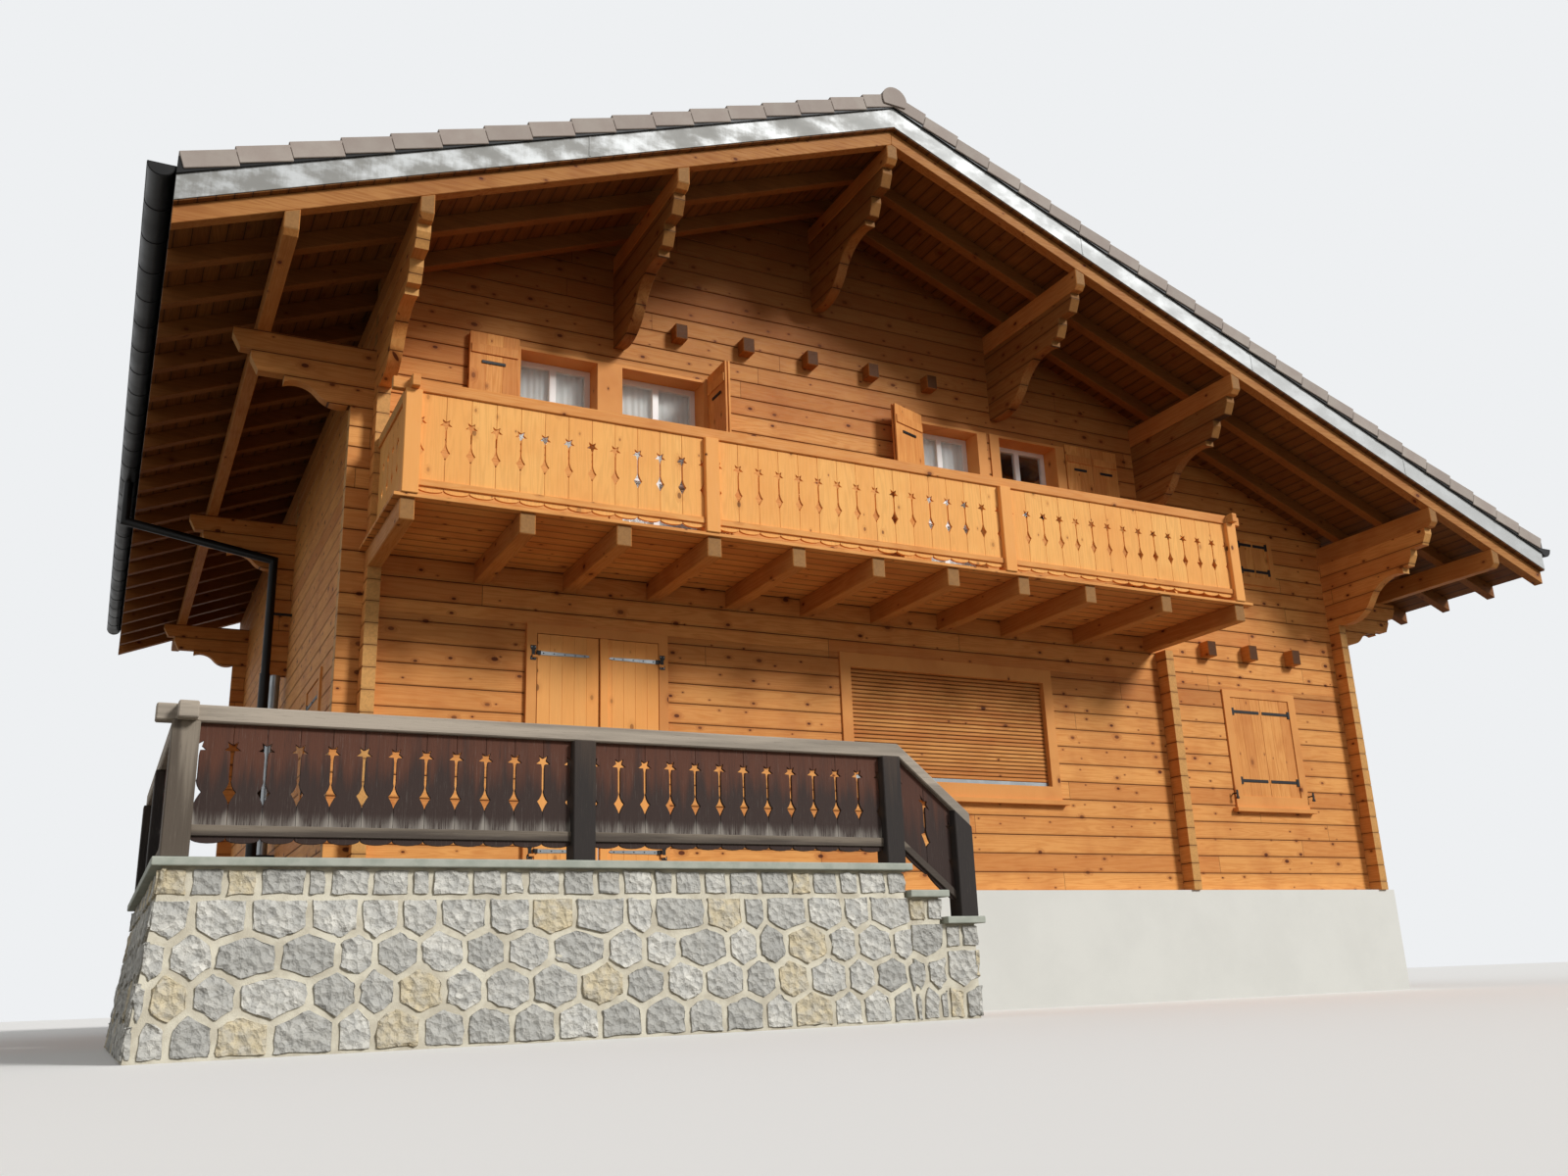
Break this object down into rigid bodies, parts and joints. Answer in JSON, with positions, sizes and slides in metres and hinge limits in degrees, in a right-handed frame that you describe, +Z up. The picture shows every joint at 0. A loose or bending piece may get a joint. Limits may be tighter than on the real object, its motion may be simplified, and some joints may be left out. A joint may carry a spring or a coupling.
{
  "type": "alpine log chalet",
  "caption": "Log chalet on a white plinth with a low gable roof, carved balcony, shuttered windows and a railed stone terrace.",
  "frame": {"origin": "underside of the plinth, below the front left outer corner of the log walls, at the lowest ground level", "axes": "X along the gable front to the right, Y from the front wall into the house, Z up"},
  "size_m": [14.652, 13.396, 8.216],
  "materials": {
    "balcony_wood": "oiled spruce",
    "casing_wood": "oiled spruce casing",
    "concrete": "concrete slab",
    "dark_metal": "dark brown painted metal",
    "glass": "clear window glass",
    "log_wood": "oiled spruce logs",
    "pale_wood": "oiled spruce boards",
    "render": "white rendered masonry",
    "roof_tile": "flat concrete roof tile",
    "rubble_stone": "rubble stone with pale mortar",
    "shutter_wood": "oiled spruce shutter boards",
    "stone_slab": "sawn stone slab",
    "weathered_wood": "weathered dark wood",
    "white_cloth": "thin white curtain cloth",
    "white_paint": "white painted wood",
    "zinc": "weathered zinc sheet"
  },
  "bodies": {
    "house": {"attic_beams": "log_wood", "attic_floor": "log_wood", "back_corbels": "log_wood", "back_wall": "log_wood", "balcony_deck": "balcony_wood", "balcony_panel_1": "pale_wood", "balcony_panel_2": "pale_wood", "balcony_panel_3": "pale_wood", "balcony_panel_left": "pale_wood", "balcony_panel_right": "pale_wood", "balcony_posts": "balcony_wood", "balcony_rails": "balcony_wood", "cross_wall": "log_wood", "curtains": "white_cloth", "door_casing": "casing_wood", "downpipes": "dark_metal", "floor_beams": "log_wood", "front_corbels": "log_wood", "front_wall_lower_left": "log_wood", "front_wall_lower_right": "log_wood", "front_wall_upper": "log_wood", "ground_floor": "concrete", "gutter_left": "dark_metal", "gutter_right": "dark_metal", "left_wall": "log_wood", "plinth": "render", "purlins": "log_wood", "rafters_left": "log_wood", "rafters_right": "log_wood", "ridge_tiles": "roof_tile", "right_wall": "log_wood", "roller_shutter": "shutter_wood", "roof_boards_left": "log_wood", "roof_boards_right": "log_wood", "roof_tiles_left": "roof_tile", "roof_tiles_right": "roof_tile", "shutters": "shutter_wood", "side_post": "zinc", "spine_wall": "log_wood", "terrace_masonry": "rubble_stone", "terrace_panel_1": "weathered_wood", "terrace_panel_2": "weathered_wood", "terrace_panel_side": "weathered_wood", "terrace_panel_stair": "weathered_wood", "terrace_paving": "stone_slab", "terrace_posts": "weathered_wood", "terrace_rails": "weathered_wood", "terrace_steps": "stone_slab", "upper_floor": "log_wood", "verge_flashing": "zinc", "window_casings": "casing_wood", "window_frames": "white_paint", "window_glass": "glass"},
    "left_leaf": {"door_leaf_left": "shutter_wood"},
    "right_leaf": {"door_leaf_right": "shutter_wood"}
  },
  "joints": [
    {"name": "left_leaf_hinge", "type": "hinge", "parent": "house", "child": "left_leaf", "pos_m": [1.4, -0.055, 1.095], "axis": [0, 0, -1], "range_deg": [0, 170]},
    {"name": "right_leaf_hinge", "type": "hinge", "parent": "house", "child": "right_leaf", "pos_m": [2.476, -0.055, 1.095], "axis": [0, 0, 1], "range_deg": [0, 170]}
  ]
}
